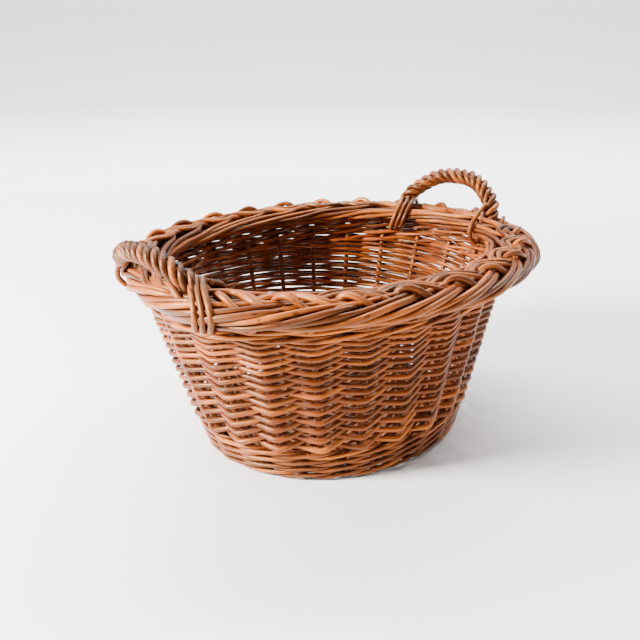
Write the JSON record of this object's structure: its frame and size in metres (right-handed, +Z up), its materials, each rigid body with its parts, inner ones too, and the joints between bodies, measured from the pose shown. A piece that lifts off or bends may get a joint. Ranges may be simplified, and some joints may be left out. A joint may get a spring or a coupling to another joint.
{
  "type": "woven market basket",
  "caption": "Oval flared willow basket with a slanted weave, a thick rolled border and a roped bow handle at each end, for carrying goods.",
  "frame": {"origin": "centre of the oval foot, on the surface the basket stands on", "axes": "+X along the length towards the taller handle, +Y across the width, +Z up"},
  "size_m": [0.44, 0.3634, 0.2338],
  "materials": {
    "wall_willow": "satin",
    "border_willow": "satin",
    "handle_willow": "satin",
    "stick_willow": "satin"
  },
  "bodies": {
    "root": {"base_long_stick_1": "stick_willow", "base_long_stick_2": "stick_willow", "base_long_stick_3": "stick_willow", "base_long_stick_4": "stick_willow", "base_long_stick_5": "stick_willow", "base_short_stick_1": "stick_willow", "base_short_stick_2": "stick_willow", "base_short_stick_3": "stick_willow", "base_short_stick_4": "stick_willow", "base_short_stick_5": "stick_willow", "base_short_stick_6": "stick_willow", "base_short_stick_7": "stick_willow", "base_weave": "wall_willow", "border": "border_willow", "left_far_lashing": "handle_willow", "left_handle_bow": "handle_willow", "left_handle_rope": "handle_willow", "left_near_lashing": "handle_willow", "right_far_lashing": "handle_willow", "right_handle_bow": "handle_willow", "right_handle_rope": "handle_willow", "right_near_lashing": "handle_willow", "side_stake_01": "stick_willow", "side_stake_02": "stick_willow", "side_stake_03": "stick_willow", "side_stake_04": "stick_willow", "side_stake_05": "stick_willow", "side_stake_06": "stick_willow", "side_stake_07": "stick_willow", "side_stake_08": "stick_willow", "side_stake_09": "stick_willow", "side_stake_10": "stick_willow", "side_stake_11": "stick_willow", "side_stake_12": "stick_willow", "side_stake_13": "stick_willow", "side_stake_14": "stick_willow", "side_stake_15": "stick_willow", "side_stake_16": "stick_willow", "side_stake_17": "stick_willow", "side_stake_18": "stick_willow", "side_stake_19": "stick_willow", "side_stake_20": "stick_willow", "side_stake_21": "stick_willow", "side_stake_22": "stick_willow", "side_stake_23": "stick_willow", "side_stake_24": "stick_willow", "side_weave": "wall_willow", "top_wale": "wall_willow", "upsett_wale": "wall_willow"}
  },
  "joints": []
}
